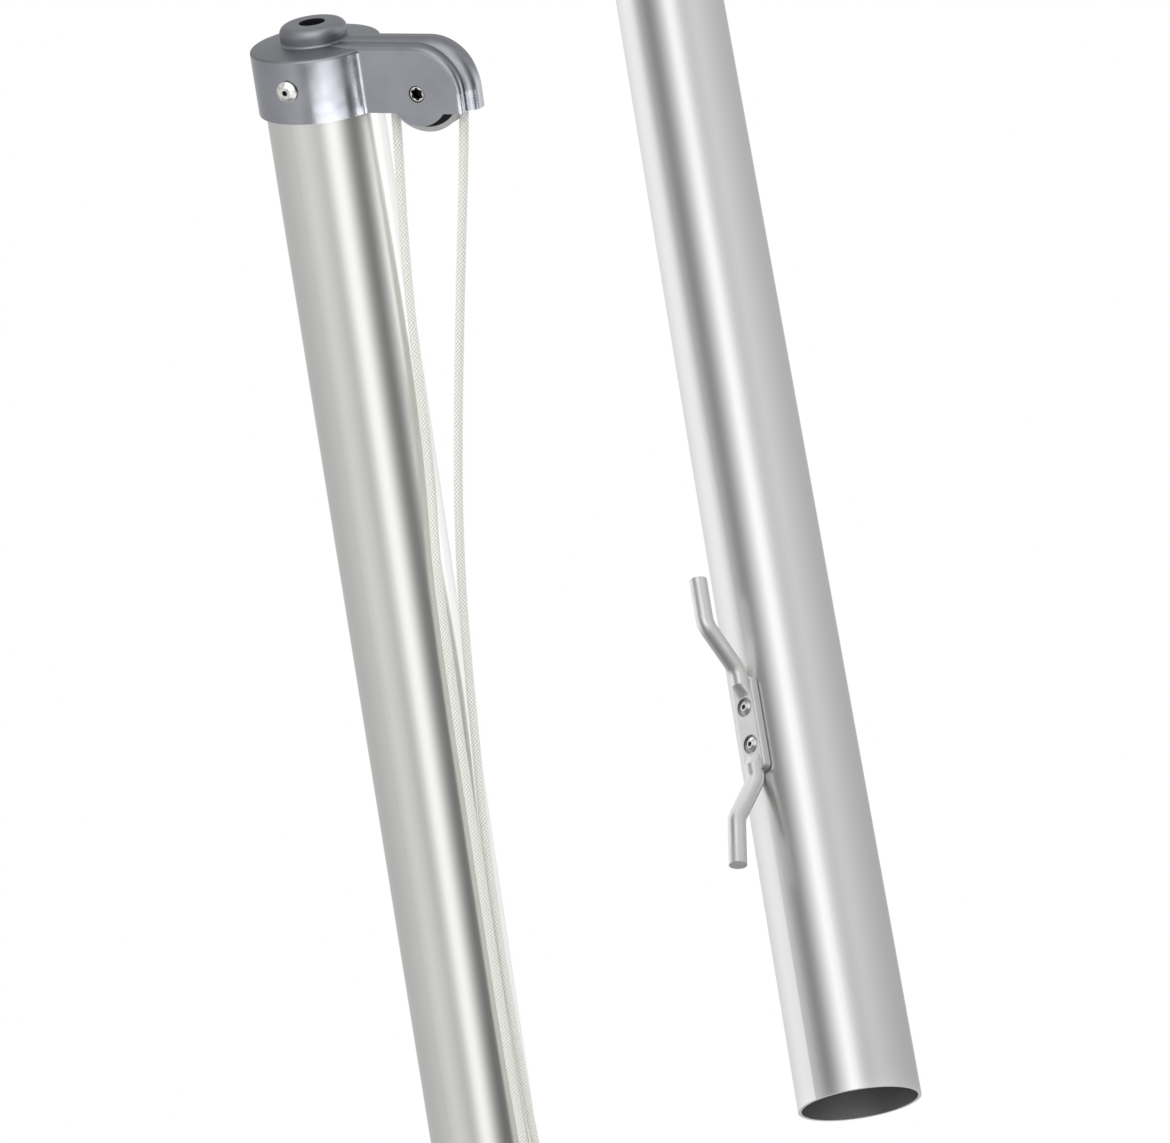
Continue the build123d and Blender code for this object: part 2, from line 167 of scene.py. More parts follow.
# x, y and height from the cap's lower edge: up along the tube, over the wheel and down outside
halyardRoute = [
    (0.0330, -0.0306, -0.7719), (0.0330, -0.0296, -0.7400), (0.0330, -0.0215, -0.7060),
    (0.0328, -0.0125, -0.6680), (0.0318, -0.0102, -0.6220), (0.0311, -0.0116, -0.5600),
    (0.0308, -0.0122, -0.5000), (0.0308, -0.0122, -0.4000), (0.0308, -0.0122, -0.3300),
    (0.0311, -0.0116, -0.2830), (0.0314, -0.0107, -0.2530), (0.0322, -0.0080, -0.2240),
    (0.0329, -0.0050, -0.1950), (0.0331, -0.0028, -0.1500), (0.0333, -0.0024, -0.1200),
    (0.0355, -0.0012, -0.0700), (0.0413, 0.0, -0.0040),
    (0.0414, 0.0, 0.0185), (0.0532, 0.0, 0.0303), (0.0700, 0.0, 0.0303), (0.0818, 0.0, 0.0185),
    (0.0818, 0.0, 0.0083),
    (0.0769, 0.0002, -0.0240), (0.0614, 0.0009, -0.1070), (0.0447, 0.0018, -0.2040),
    (0.0374, 0.0022, -0.2650), (0.0342, 0.0016, -0.3150), (0.0333, -0.0010, -0.3620),
    (0.0330, -0.0046, -0.4030), (0.0328, -0.0056, -0.4400), (0.0328, -0.0058, -0.5000),
    (0.0331, -0.0036, -0.5610), (0.0333, -0.0006, -0.6200), (0.0352, 0.0075, -0.6700),
    (0.0430, 0.0215, -0.7140), (0.0482, 0.0298, -0.7440), (0.0486, 0.0306, -0.7719),
]
hank = {
    "outerRadius": 0.0306, "innerRadius": 0.0158, "layer": 0.0052,
    "upperTurns": capBase - 0.790, "lowerTurns": capBase - 0.835,
    "nearDepths": (0.0330, 0.0382), "farDepths": (0.0486, 0.0434),
    "knot": (0.04095, capBase - 0.7470),
    "firstAngle": 195, "points": 80,
    "crossing": 0.5,  # turns that it takes to cross to the next layer
    # into the knot: share of the way across, distance from the middle and rise above the knot
    "ends": ((0.4, 0.0035, -0.0055), (1.0, 0.0005, 0.0045)),
}
turnPoints = 12
splineInset = 0.9665  # a spline with that many points a turn runs inside them by this much


# One fall's turns: inwards in one layer, across, and outwards in the next to the knot.
def hankTurns(depths, side):
    turnsIn = (hank["outerRadius"] - hank["innerRadius"]) / hank["layer"]
    points = []
    for step in range(hank["points"]):
        angle = hank["firstAngle"] + 360 / turnPoints * step
        turn = (angle - 180) / 360
        crossing = min(1, max(0, (turn - turnsIn) / hank["crossing"]))
        radius = hank["outerRadius"] - hank["layer"] * min(turn, turnsIn)
        radius += hank["layer"] * max(0, min(turn - turnsIn - hank["crossing"], turnsIn))
        depth = depths[0] + (depths[1] - depths[0]) * crossing
        middle = hank["lowerTurns"] if angle % 360 > 180 else hank["upperTurns"]
        reach = radius / splineInset
        points.append((depth, side * reach * math.cos(math.radians(angle)),
                       middle + reach * math.sin(math.radians(angle))))
    knotX, knotZ = hank["knot"]
    for share, aside, rise in hank["ends"]:
        points.append((depths[1] * (1 - share) + knotX * share, side * aside, knotZ + rise))
    return points


nearTurns = hankTurns(hank["nearDepths"], 1)
farTurns = hankTurns(hank["farDepths"], -1)
ropePoints = nearTurns[::-1] + [(x, y, capBase + z) for x, y, z in halyardRoute] + farTurns


# Points along a NURBS line through the given control points, closely spaced
def splineLine(name, points):
    curve = bpy.data.curves.new(name, "CURVE")
    curve.dimensions = "3D"
    curve.resolution_u = 16
    spline = curve.splines.new("NURBS")
    spline.points.add(len(points) - 1)
    for place, point in zip(spline.points, points):
        place.co = (*point, 1)
    spline.order_u = 3
    spline.use_endpoint_u = True
    holder = bpy.data.objects.new(name, curve)
    line = bpy.data.meshes.new_from_object(holder)
    places = [vertex.co.copy() for vertex in line.vertices]
    bpy.data.objects.remove(holder)
    bpy.data.meshes.remove(line)
    return places


# the same line in equal steps of about this spacing, and its length
def evenly(places, spacing):
    total = sum((b - a).length for a, b in zip(places, places[1:]))
    step = total / max(1, round(total / spacing))
    even, travelled, target = [places[0].copy()], 0.0, step
    for a, b in zip(places, places[1:]):
        run = (b - a).length
        while run > 0 and travelled + run >= target - 1e-12:
            even.append(a.lerp(b, (target - travelled) / run))
            target += step
        travelled += run
    return even, total


# A smooth piece whose faces carry their places in a woven pattern
def patternedPiece(name, vertices, faces, pattern, patternPlaces):
    mesh = bpy.data.meshes.new(name)
    mesh.from_pydata(vertices, [], faces)
    layer = mesh.uv_layers.new(name=pattern)
    layer.data.foreach_set("uv", patternPlaces)
    mesh.polygons.foreach_set("use_smooth", [True] * len(faces))
    mesh.update()
    return addToScene(name, mesh)


# A round rope along places; the humps of the braid are a diamond pattern of lowered vertices
def braidedTube(name, places, rope):
    around, last = 2 * rope["crowns"], len(places) - 1
    vertices, faces, patternPlaces = [], [], []
    side = (places[1] - places[0]).normalized().orthogonal().normalized()
    for row, place in enumerate(places):
        ahead = (places[min(row + 1, last)] - places[max(row - 1, 0)]).normalized()
        side = (side - ahead * side.dot(ahead)).normalized()
        other = ahead.cross(side)
        for column in range(around):
            angle = 2 * math.pi * column / around
            radius = rope["diameter"] / 2 - (rope["relief"] if (row + column) % 2 else 0)
            vertices.append(place + (side * math.cos(angle) + other * math.sin(angle)) * radius)
    for row in range(last):
        for column in range(around):
            nextColumn = (column + 1) % around
            faces.append((row * around + column, row * around + nextColumn,
                          (row + 1) * around + nextColumn, (row + 1) * around + column))
            for dColumn, dRow in ((0, 0), (1, 0), (1, 1), (0, 1)):
                patternPlaces += [(column + dColumn) / 2, (row + dRow) / 2]
    faces.append(tuple(range(around))[::-1])
    faces.append(tuple(range(len(vertices) - around, len(vertices))))
    patternPlaces += [0.0, 0.0] * (2 * around)
    return patternedPiece(name, vertices, faces, "braid", patternPlaces)


ropeStep = halyardRope["crownPitch"] / 2
ropeLine, ropeLength = evenly(splineLine("halyardRoute", ropePoints), ropeStep)
halyard = braidedTube("halyard_rope", ropeLine, halyardRope)
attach(halyard, "root")
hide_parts("halyard", "halyard_hank")
print("halyard laid,", round(ropeLength, 3), "m")

# Knot: both ends tied in a barrel of turns above the hank. The free end's points are given by their
# shift in x, their share of the last turn's y and their rise above it.
knotTurns = {
    "radius": 0.0054, "pitch": 0.0051, "turns": 2.5,
    "freeEnd": ((0.0, 0.3, 0.0030), (-0.001, -0.2, 0.0075), (-0.002, -0.3, 0.0110)),
}
knotX, knotZ = hank["knot"]
coil = []
lowest = knotZ - knotTurns["pitch"] * knotTurns["turns"] / 2
reach = knotTurns["radius"] / splineInset
for step in range(int(turnPoints * knotTurns["turns"]) + 1):
    angle = math.radians(360 / turnPoints * step)
    coil.append((knotX + reach * math.sin(angle), -reach * math.cos(angle),
                 lowest + knotTurns["pitch"] * step / turnPoints))
topY, topZ = coil[-1][1:]
for shift, share, rise in knotTurns["freeEnd"]:
    coil.append((knotX + shift, topY * share, topZ + rise))
knotLine = evenly(splineLine("knotTurns", coil), ropeStep)[0]
knot = braidedTube("halyard_tied_ends", knotLine, halyardRope)
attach(knot, "root")
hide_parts("halyard_knot")

# Strap: hook-and-loop webbing round the pole and the hank, its end lapped over the front
strapBand = {
    "width": 0.014, "thickness": 0.0014, "gap": 0.0003, "corner": 0.0018, "lap": 0.034,
    "height": capBase - 0.812, "step": 0.0015,
    "hankBack": 0.03045, "hankFront": 0.05145, "hankHalf": 0.0331, "aside": 0.2,
}
grown = strapBand["gap"] + strapBand["thickness"] / 2
outline = [(math.cos(math.radians(a)) * (tubeRadius + grown),
            math.sin(math.radians(a)) * (tubeRadius + grown)) for a in range(0, 360, 3)]
corner = strapBand["corner"]
for cornerX in (strapBand["hankBack"] + corner, strapBand["hankFront"] - corner):
    for cornerY in (-strapBand["hankHalf"] + corner, strapBand["hankHalf"] - corner):
        for a in range(0, 360, 15):
            outline.append((cornerX + math.cos(math.radians(a)) * (corner + grown),
                            cornerY + math.sin(math.radians(a)) * (corner + grown)))
outline = [Vector(outline[i]) for i in geometry.convex_hull_2d(outline)]
# the lap is at the front, a little to one side
start = max(range(len(outline)), key=lambda i: outline[i].x + strapBand["aside"] * outline[i].y)
outline = outline[start:] + outline[:start + 1]
strapLine, strapLength = evenly(
    [Vector((place.x, place.y, strapBand["height"])) for place in outline], strapBand["step"])


# A woven band along a level line, its face away from the pole, edges rounded
def wovenBand(name, places, lift, closed):
    half, thick = strapBand["width"] / 2, strapBand["thickness"] / 2
    edge = ((1.0, 0.3), (0.97, 0.85), (0.9, 1.0), (0.3, 1.0))  # shares of half and thick
    section = [(-half * across, -depth) for across, depth in edge]
    section += [(half * across, -depth) for across, depth in edge[::-1]]
    section += [(-height, -depth) for height, depth in section]
    count, rows = len(section), len(places)
    vertices, faces, patternPlaces = [], [], []
    for row, place in enumerate(places):
        if closed:
            ahead = places[(row + 1) % rows] - places[row - 1]
        else:
            ahead = places[min(row + 1, rows - 1)] - places[max(row - 1, 0)]
        away = Vector((ahead.y, -ahead.x, 0)).normalized()
        for height, depth in section:
            vertices.append(place + away * (lift + depth * thick) + Vector((0, 0, height)))
    for row in range(rows if closed else rows - 1):
        for column in range(count):
            nextRow, nextColumn = (row + 1) % rows, (column + 1) % count
            faces.append((row * count + column, nextRow * count + column,
                          nextRow * count + nextColumn, row * count + nextColumn))
            for dRow, edgeColumn in ((0, column), (1, column), (1, nextColumn), (0, nextColumn)):
                patternPlaces += [(row + dRow) * strapBand["step"] * 1000,
                                  section[edgeColumn][0] * 1000]
    if not closed:
        faces.append(tuple(range(count)))
        faces.append(tuple(range(len(vertices) - count, len(vertices)))[::-1])
        patternPlaces += [0.0, 0.0] * (2 * count)
    return patternedPiece(name, vertices, faces, "weave", patternPlaces)


strap = wovenBand("hank_strap_band", strapLine[:-1], 0.0, True)
lapCount = int(strapBand["lap"] / strapBand["step"])
lapLine = strapLine[-lapCount // 2 - 1:-1] + strapLine[:lapCount // 2]
strapLap = wovenBand("hank_strap_lap", lapLine, strapBand["thickness"], False)
for piece in (strap, strapLap):
    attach(piece, "root")
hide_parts("hank_strap")
print("hank tied, strap", round(strapLength + strapBand["lap"], 3), "m with its lap")

# Drawn 6063 aluminium tube, satin anodised: a soft grey sheen with faint draw lines along the pole,
# painted shade inside, a near black colour on the bore, and a brighter sawn ring at its ends. Draw
# lines are about 0.1 mm apart; shown at 0.8 mm.
tubeFinish = {
    "light": "#DEDEDC", "dark": "#D2D2D0", "inside": "#121213", "sawn": "#E6E6E4",
    "roughness": (0.24, 0.32), "lineWidth": 0.0008, "lineStretch": 0.004, "bloomSize": 0.06,
    "base": 0.2, "lineShare": 0.45, "bloomShare": 0.4, "skinDepth": 0.0013, "endFacing": 0.7,
    "sawScale": 900.0,  # its bands lie 0.5 mm apart
    "bump": {"Strength": 0.25, "Distance": 0.00002},
}
satinTube, tree = newMaterial("drawnAnodisedTube")
place = addNode(tree, "ShaderNodeTexCoord")
lineScale = addNode(tree, "ShaderNodeMapping", None, {"Scale": (1, 1, tubeFinish["lineStretch"])},
    {"Vector": place.outputs["Object"]})
drawLines = addNode(tree, "ShaderNodeTexNoise", None,
    {"Scale": 1 / tubeFinish["lineWidth"], "Detail": 2.0, "Roughness": 0.6},
    {"Vector": lineScale.outputs["Vector"]})
bloom = addNode(tree, "ShaderNodeTexNoise", None,
    {"Scale": 1 / tubeFinish["bloomSize"], "Detail": 3.0, "Roughness": 0.5},
    {"Vector": place.outputs["Object"]})
lined = addNode(tree, "ShaderNodeMath", multiplyAdd,
    {1: tubeFinish["lineShare"], 2: tubeFinish["base"]}, {0: drawLines.outputs["Fac"]})
tone = addNode(tree, "ShaderNodeMath", multiplyAdd, {1: tubeFinish["bloomShare"]},
    {0: bloom.outputs["Fac"], 2: lined.outputs[0]})
outsideColour = addNode(tree, "ShaderNodeMix", mixColours,
    {"A": toLinear(tubeFinish["dark"]), "B": toLinear(tubeFinish["light"])},
    {"Factor": tone.outputs[0]})
parts = addNode(tree, "ShaderNodeSeparateXYZ", None, None, {"Vector": place.outputs["Object"]})
flatPlace = addNode(tree, "ShaderNodeCombineXYZ", None, None,
    {"X": parts.outputs["X"], "Y": parts.outputs["Y"]})
fromAxis = addNode(tree, "ShaderNodeVectorMath", vectorLength, None,
    {0: flatPlace.outputs["Vector"]})
isInside = addNode(tree, "ShaderNodeMath", lessThan, {1: tubeRadius - tubeFinish["skinDepth"]},
    {0: fromAxis.outputs["Value"]})
facing = addNode(tree, "ShaderNodeNewGeometry")
facingParts = addNode(tree, "ShaderNodeSeparateXYZ", None, None,
    {"Vector": facing.outputs["True Normal"]})
upright = addNode(tree, "ShaderNodeMath", absolute, None, {0: facingParts.outputs["Z"]})
isEnd = addNode(tree, "ShaderNodeMath", {"operation": "GREATER_THAN"}, {1: tubeFinish["endFacing"]},
    {0: upright.outputs[0]})
# painted shade: the bore gets a near black colour for the shade inside the tube
withInsideShade = addNode(tree, "ShaderNodeMix", mixColours, {"B": toLinear(tubeFinish["inside"])},
    {"Factor": isInside.outputs[0], "A": outsideColour.outputs["Result"]})
withEnd = addNode(tree, "ShaderNodeMix", mixColours, {"B": toLinear(tubeFinish["sawn"])},
    {"Factor": isEnd.outputs[0], "A": withInsideShade.outputs["Result"]})
gloss = addNode(tree, "ShaderNodeMapRange", None,
    {"To Min": tubeFinish["roughness"][0], "To Max": tubeFinish["roughness"][1]},
    {"Value": tone.outputs[0]})
sawMarks = addNode(tree, "ShaderNodeTexWave", {"wave_type": "BANDS", "bands_direction": "DIAGONAL"},
    {"Scale": tubeFinish["sawScale"], "Distortion": 2.0}, {"Vector": place.outputs["Object"]})
relief = addNode(tree, "ShaderNodeMix", None, None,
    {"Factor": isEnd.outputs[0], "A": drawLines.outputs["Fac"], "B": sawMarks.outputs["Fac"]})
bump = addNode(tree, "ShaderNodeBump", None, tubeFinish["bump"],
    {"Height": relief.outputs["Result"]})
shader = addNode(tree, "ShaderNodeBsdfPrincipled", None, {"Metallic": 1.0},
    {"Base Color": withEnd.outputs["Result"], "Roughness": gloss.outputs["Result"],
     "Normal": bump.outputs["Normal"]})
addNode(tree, "ShaderNodeOutputMaterial", None, None, {"Surface": shader.outputs["BSDF"]})


# Where a place lies from the sheave's axle, and how far it is from the axle's line
def fromAxleLine(tree, place):
    shift = addNode(tree, "ShaderNodeVectorMath", {"operation": "SUBTRACT"}, {1: (axleX, 0, axleZ)},
        {0: place.outputs["Object"]})
    across = addNode(tree, "ShaderNodeVectorMath", multiply, {1: (1, 0, 1)},
        {0: shift.outputs["Vector"]})
    distance = addNode(tree, "ShaderNodeVectorMath", vectorLength, None,
        {0: across.outputs["Vector"]})
    return shift, distance


# Cast aluminium-magnesium alloy, tumbled, its walls and cheeks then buffed: a bluish mid grey,
# more matt on the crown and the hood's top and darker there as painted shade, with soft ripples
# left by the mould, and painted shade, a near black colour, inside the slot and the hole. Grain of
# the skin is about 0.3 mm; shown at 0.8 mm.
castFinish = {
    "light": "#A8AAB0", "dark": "#909299", "slot": "#2C2D30", "roughness": (0.16, 0.26),
    "grain": 0.0008, "ripple": 0.009, "cloud": 0.02,
    "slotReach": 0.0242, "slotHalf": 0.0059, "slotMatt": 0.35, "finialHole": 0.0068,
    "crown": 0.58, "crownMatt": 0.24, "crownFrom": capBase + 0.0335, "crownReach": 0.025,
    "crownFacing": (0.05, 0.5), "rippleBump": {"Strength": 0.3, "Distance": 0.0002},
    "grainBump": {"Strength": 0.2, "Distance": 0.00003},
}
tumbledCasting, tree = newMaterial("tumbledAluminiumCasting")
place = addNode(tree, "ShaderNodeTexCoord")
grain = addNode(tree, "ShaderNodeTexNoise", None,
    {"Scale": 1 / castFinish["grain"], "Detail": 2.0, "Roughness": 0.6},
    {"Vector": place.outputs["Object"]})
ripple = addNode(tree, "ShaderNodeTexNoise", None,
    {"Scale": 1 / castFinish["ripple"], "Detail": 1.0}, {"Vector": place.outputs["Object"]})
cloud = addNode(tree, "ShaderNodeTexNoise", None,
    {"Scale": 1 / castFinish["cloud"], "Detail": 4.0, "Roughness": 0.55},
    {"Vector": place.outputs["Object"]})
colour = addNode(tree, "ShaderNodeMix", mixColours,
    {"A": toLinear(castFinish["dark"]), "B": toLinear(castFinish["light"])},
    {"Factor": cloud.outputs["Fac"]})
slotRadius = fromAxleLine(tree, place)[1]
nearAxle = addNode(tree, "ShaderNodeMath", lessThan, {1: castFinish["slotReach"]},
    {0: slotRadius.outputs["Value"]})
parts = addNode(tree, "ShaderNodeSeparateXYZ", None, None, {"Vector": place.outputs["Object"]})
offMiddle = addNode(tree, "ShaderNodeMath", absolute, None, {0: parts.outputs["Y"]})
nearMiddle = addNode(tree, "ShaderNodeMath", lessThan, {1: castFinish["slotHalf"]},
    {0: offMiddle.outputs[0]})
besideWheel = addNode(tree, "ShaderNodeMath", multiply, None,
    {0: nearAxle.outputs[0], 1: nearMiddle.outputs[0]})
flatPlace = addNode(tree, "ShaderNodeCombineXYZ", None, None,
    {"X": parts.outputs["X"], "Y": parts.outputs["Y"]})
fromPole = addNode(tree, "ShaderNodeVectorMath", vectorLength, None,
    {0: flatPlace.outputs["Vector"]})
inHole = addNode(tree, "ShaderNodeMath", lessThan, {1: castFinish["finialHole"]},
    {0: fromPole.outputs["Value"]})
inSlot = addNode(tree, "ShaderNodeMath", {"operation": "MAXIMUM"}, None,
    {0: besideWheel.outputs[0], 1: inHole.outputs[0]})
facing = addNode(tree, "ShaderNodeNewGeometry")
facingParts = addNode(tree, "ShaderNodeSeparateXYZ", None, None,
    {"Vector": facing.outputs["Normal"]})
upward = addNode(tree, "ShaderNodeMapRange", smoothStep,
    {"From Min": castFinish["crownFacing"][0], "From Max": castFinish["crownFacing"][1]},
    {"Value": facingParts.outputs["Z"]})
aboveCap = addNode(tree, "ShaderNodeMath", {"operation": "GREATER_THAN"},
    {1: castFinish["crownFrom"]}, {0: parts.outputs["Z"]})
nearBoss = addNode(tree, "ShaderNodeMath", lessThan, {1: castFinish["crownReach"]},
    {0: parts.outputs["X"]})
onBoss = addNode(tree, "ShaderNodeMath", multiply, None,
    {0: aboveCap.outputs[0], 1: nearBoss.outputs[0]})
onCrown = addNode(tree, "ShaderNodeMath", {"operation": "MAXIMUM"}, None,
    {0: upward.outputs["Result"], 1: onBoss.outputs[0]})
# painted shade: up-facing faces and the boss are darkened in colour; the added roughness is finish
paintedCrownShade = addNode(tree, "ShaderNodeMapRange", None,
    {"To Min": 1.0, "To Max": castFinish["crown"]}, {"Value": onCrown.outputs[0]})
withCrownShade = addNode(tree, "ShaderNodeMix", shadeColour, {"Factor": 1.0},
    {"A": colour.outputs["Result"], "B": paintedCrownShade.outputs["Result"]})
# painted shade: the slot beside the wheel and the finial hole get a near black colour
withSlotShade = addNode(tree, "ShaderNodeMix", mixColours, {"B": toLinear(castFinish["slot"])},
    {"Factor": inSlot.outputs[0], "A": withCrownShade.outputs["Result"]})
buffed = addNode(tree, "ShaderNodeMapRange", None,
    {**noiseSpan, "To Min": castFinish["roughness"][0], "To Max": castFinish["roughness"][1]},
    {"Value": cloud.outputs["Fac"]})
crownMatt = addNode(tree, "ShaderNodeMath", multiplyAdd, {1: castFinish["crownMatt"]},
    {0: onCrown.outputs[0], 2: buffed.outputs["Result"]})
gloss = addNode(tree, "ShaderNodeMath", multiplyAdd, {1: castFinish["slotMatt"]},
    {0: inSlot.outputs[0], 2: crownMatt.outputs[0]})
rippleBump = addNode(tree, "ShaderNodeBump", None, castFinish["rippleBump"],
    {"Height": ripple.outputs["Fac"]})
bump = addNode(tree, "ShaderNodeBump", None, castFinish["grainBump"],
    {"Height": grain.outputs["Fac"], "Normal": rippleBump.outputs["Normal"]})
shader = addNode(tree, "ShaderNodeBsdfPrincipled", None, {"Metallic": 1.0},
    {"Base Color": withSlotShade.outputs["Result"], "Roughness": gloss.outputs[0],
     "Normal": bump.outputs["Normal"]})
addNode(tree, "ShaderNodeOutputMaterial", None, None, {"Surface": shader.outputs["BSDF"]})

# Aluminium rod, bent cold and vibratory finished: paler and more matt than the tube, with a fine
# all-over sparkle and slight rub marks. The stone finish is about 0.2 mm; shown at 0.7 mm.
cleatFinish = {
    "light": "#E4E4E0", "dark": "#D4D4D0", "roughness": (0.33, 0.45), "speck": 0.0007,
    "rub": 0.008, "sheared": 0.72, "shearedFacing": (0.93, 0.98),
    "bump": {"Strength": 0.3, "Distance": 0.00004},
}
stonedRod, tree = newMaterial("stonedAluminiumRod")
place = addNode(tree, "ShaderNodeTexCoord")
speck = addNode(tree, "ShaderNodeTexNoise", None,
    {"Scale": 1 / cleatFinish["speck"], "Detail": 1.0}, {"Vector": place.outputs["Object"]})
rub = addNode(tree, "ShaderNodeTexNoise", None, {"Scale": 1 / cleatFinish["rub"], "Detail": 3.0},
    {"Vector": place.outputs["Object"]})
colour = addNode(tree, "ShaderNodeMix", mixColours,
    {"A": toLinear(cleatFinish["dark"]), "B": toLinear(cleatFinish["light"])},
    {"Factor": rub.outputs["Fac"]})
facing = addNode(tree, "ShaderNodeNewGeometry")
facingParts = addNode(tree, "ShaderNodeSeparateXYZ", None, None,
    {"Vector": facing.outputs["Normal"]})
level = addNode(tree, "ShaderNodeMath", absolute, None, {0: facingParts.outputs["Z"]})
# the sheared ends are level faces, torn and dull, so they scatter more than they mirror
sheared = addNode(tree, "ShaderNodeMapRange", None,
    {"From Min": cleatFinish["shearedFacing"][0], "From Max": cleatFinish["shearedFacing"][1],
     "To Min": 1.0, "To Max": cleatFinish["sheared"]}, {"Value": level.outputs[0]})
gloss = addNode(tree, "ShaderNodeMapRange", None,
    {**noiseSpan, "To Min": cleatFinish["roughness"][0], "To Max": cleatFinish["roughness"][1]},
    {"Value": rub.outputs["Fac"]})
bump = addNode(tree, "ShaderNodeBump", None, cleatFinish["bump"], {"Height": speck.outputs["Fac"]})
shader = addNode(tree, "ShaderNodeBsdfPrincipled", None, None,
    {"Base Color": colour.outputs["Result"], "Metallic": sheared.outputs["Result"],
     "Roughness": gloss.outputs["Result"], "Normal": bump.outputs["Normal"]})
addNode(tree, "ShaderNodeOutputMaterial", None, None, {"Surface": shader.outputs["BSDF"]})

# Cast aluminium wheel with a turned rim and groove: a dull cast web painted near black as the shade
# in its recess by the cheeks, brighter rings left by the lathe on the rim. Feed marks are about
# 0.15 mm apart; shown at 0.5 mm.
wheelFinish = {
    "web": "#303033", "rim": "#B4B4B4", "rimFrom": 0.0193, "feed": 0.0005, "skin": 0.0009,
    "cloud": 0.007, "shade": (0.82, 1.12), "roughness": {"To Min": 0.5, "To Max": 0.3},
    "bump": {"Strength": 0.35, "Distance": 0.00003},
}
turnedWheel, tree = newMaterial("castWheelTurnedRim")
place = addNode(tree, "ShaderNodeTexCoord")
wheelRadius = fromAxleLine(tree, place)[1]
onRim = addNode(tree, "ShaderNodeMath", {"operation": "GREATER_THAN"}, {1: wheelFinish["rimFrom"]},
    {0: wheelRadius.outputs["Value"]})
ringPlace = addNode(tree, "ShaderNodeMath", multiply, {1: 2 * math.pi / wheelFinish["feed"]},
    {0: wheelRadius.outputs["Value"]})
rings = addNode(tree, "ShaderNodeMath", {"operation": "SINE"}, None, {0: ringPlace.outputs[0]})
skin = addNode(tree, "ShaderNodeTexNoise", None, {"Scale": 1 / wheelFinish["skin"], "Detail": 3.0},
    {"Vector": place.outputs["Object"]})
cloud = addNode(tree, "ShaderNodeTexNoise", None,
    {"Scale": 1 / wheelFinish["cloud"], "Detail": 3.0}, {"Vector": place.outputs["Object"]})
# painted shade: inside rimFrom the web is near black; the rim keeps the metal's grey
colour = addNode(tree, "ShaderNodeMix", mixColours,
    {"A": toLinear(wheelFinish["web"]), "B": toLinear(wheelFinish["rim"])},
    {"Factor": onRim.outputs[0]})
shade = addNode(tree, "ShaderNodeMapRange", None,
    {"To Min": wheelFinish["shade"][0], "To Max": wheelFinish["shade"][1]},
    {"Value": cloud.outputs["Fac"]})
shaded = addNode(tree, "ShaderNodeMix", shadeColour, {"Factor": 1.0},
    {"A": colour.outputs["Result"], "B": shade.outputs["Result"]})
height = addNode(tree, "ShaderNodeMix", None, None,
    {"Factor": onRim.outputs[0], "A": skin.outputs["Fac"], "B": rings.outputs[0]})
gloss = addNode(tree, "ShaderNodeMapRange", None, wheelFinish["roughness"],
    {"Value": onRim.outputs[0]})
bump = addNode(tree, "ShaderNodeBump", None, wheelFinish["bump"],
    {"Height": height.outputs["Result"]})
shader = addNode(tree, "ShaderNodeBsdfPrincipled", None, {"Metallic": 1.0},
    {"Base Color": shaded.outputs["Result"], "Roughness": gloss.outputs["Result"],
     "Normal": bump.outputs["Normal"]})
addNode(tree, "ShaderNodeOutputMaterial", None, None, {"Surface": shader.outputs["BSDF"]})

# Passivated stainless steel, cold headed and tumbled: pale heads with tiny handling marks. Painted
# shade darkens the colour where the heads are sheltered, in sockets and corners, and paints the
# axle bolt's socket as a dark six-lobed star. Marks are about 0.1 mm; shown at 0.5 mm.
screwFinish = {
    "light": "#EDECE8", "dark": "#B4B3AE", "soiledLight": "#6E6D6A", "soiledDark": "#2A2928",
    "roughness": (0.25, 0.4), "mark": 0.0005, "cloud": 0.0025,
    "mottle": {"From Min": 0.35, "From Max": 0.6}, "shelter": 0.0025, "shelterPower": 2.5,
    "starRadius": 0.0031, "starLobe": 0.0004, "starLobes": 6.0, "starShade": 0.03,
    "bump": {"Strength": 0.5, "Distance": 0.00008},
}
headedStainless, tree = newMaterial("headedStainlessSteel")
place = addNode(tree, "ShaderNodeTexCoord")
marks = addNode(tree, "ShaderNodeTexVoronoi", {"feature": "F1"}, {"Scale": 1 / screwFinish["mark"]},
    {"Vector": place.outputs["Object"]})
cloud = addNode(tree, "ShaderNodeTexNoise", None,
    {"Scale": 1 / screwFinish["cloud"], "Detail": 3.0}, {"Vector": place.outputs["Object"]})
mottle = addNode(tree, "ShaderNodeMapRange", None, screwFinish["mottle"],
    {"Value": cloud.outputs["Fac"]})
colour = addNode(tree, "ShaderNodeMix", {**mixColours, "name": "tone"},
    {"A": toLinear(screwFinish["dark"]), "B": toLinear(screwFinish["light"])},
    {"Factor": mottle.outputs["Result"]})
# painted shade: the colour is darkened by occlusion in sockets and corners
shelter = addNode(tree, "ShaderNodeAmbientOcclusion", {"samples": 8},
    {"Distance": screwFinish["shelter"]})
paintedShelterShade = addNode(tree, "ShaderNodeMath", {"operation": "POWER"},
    {1: screwFinish["shelterPower"]}, {0: shelter.outputs["AO"]})
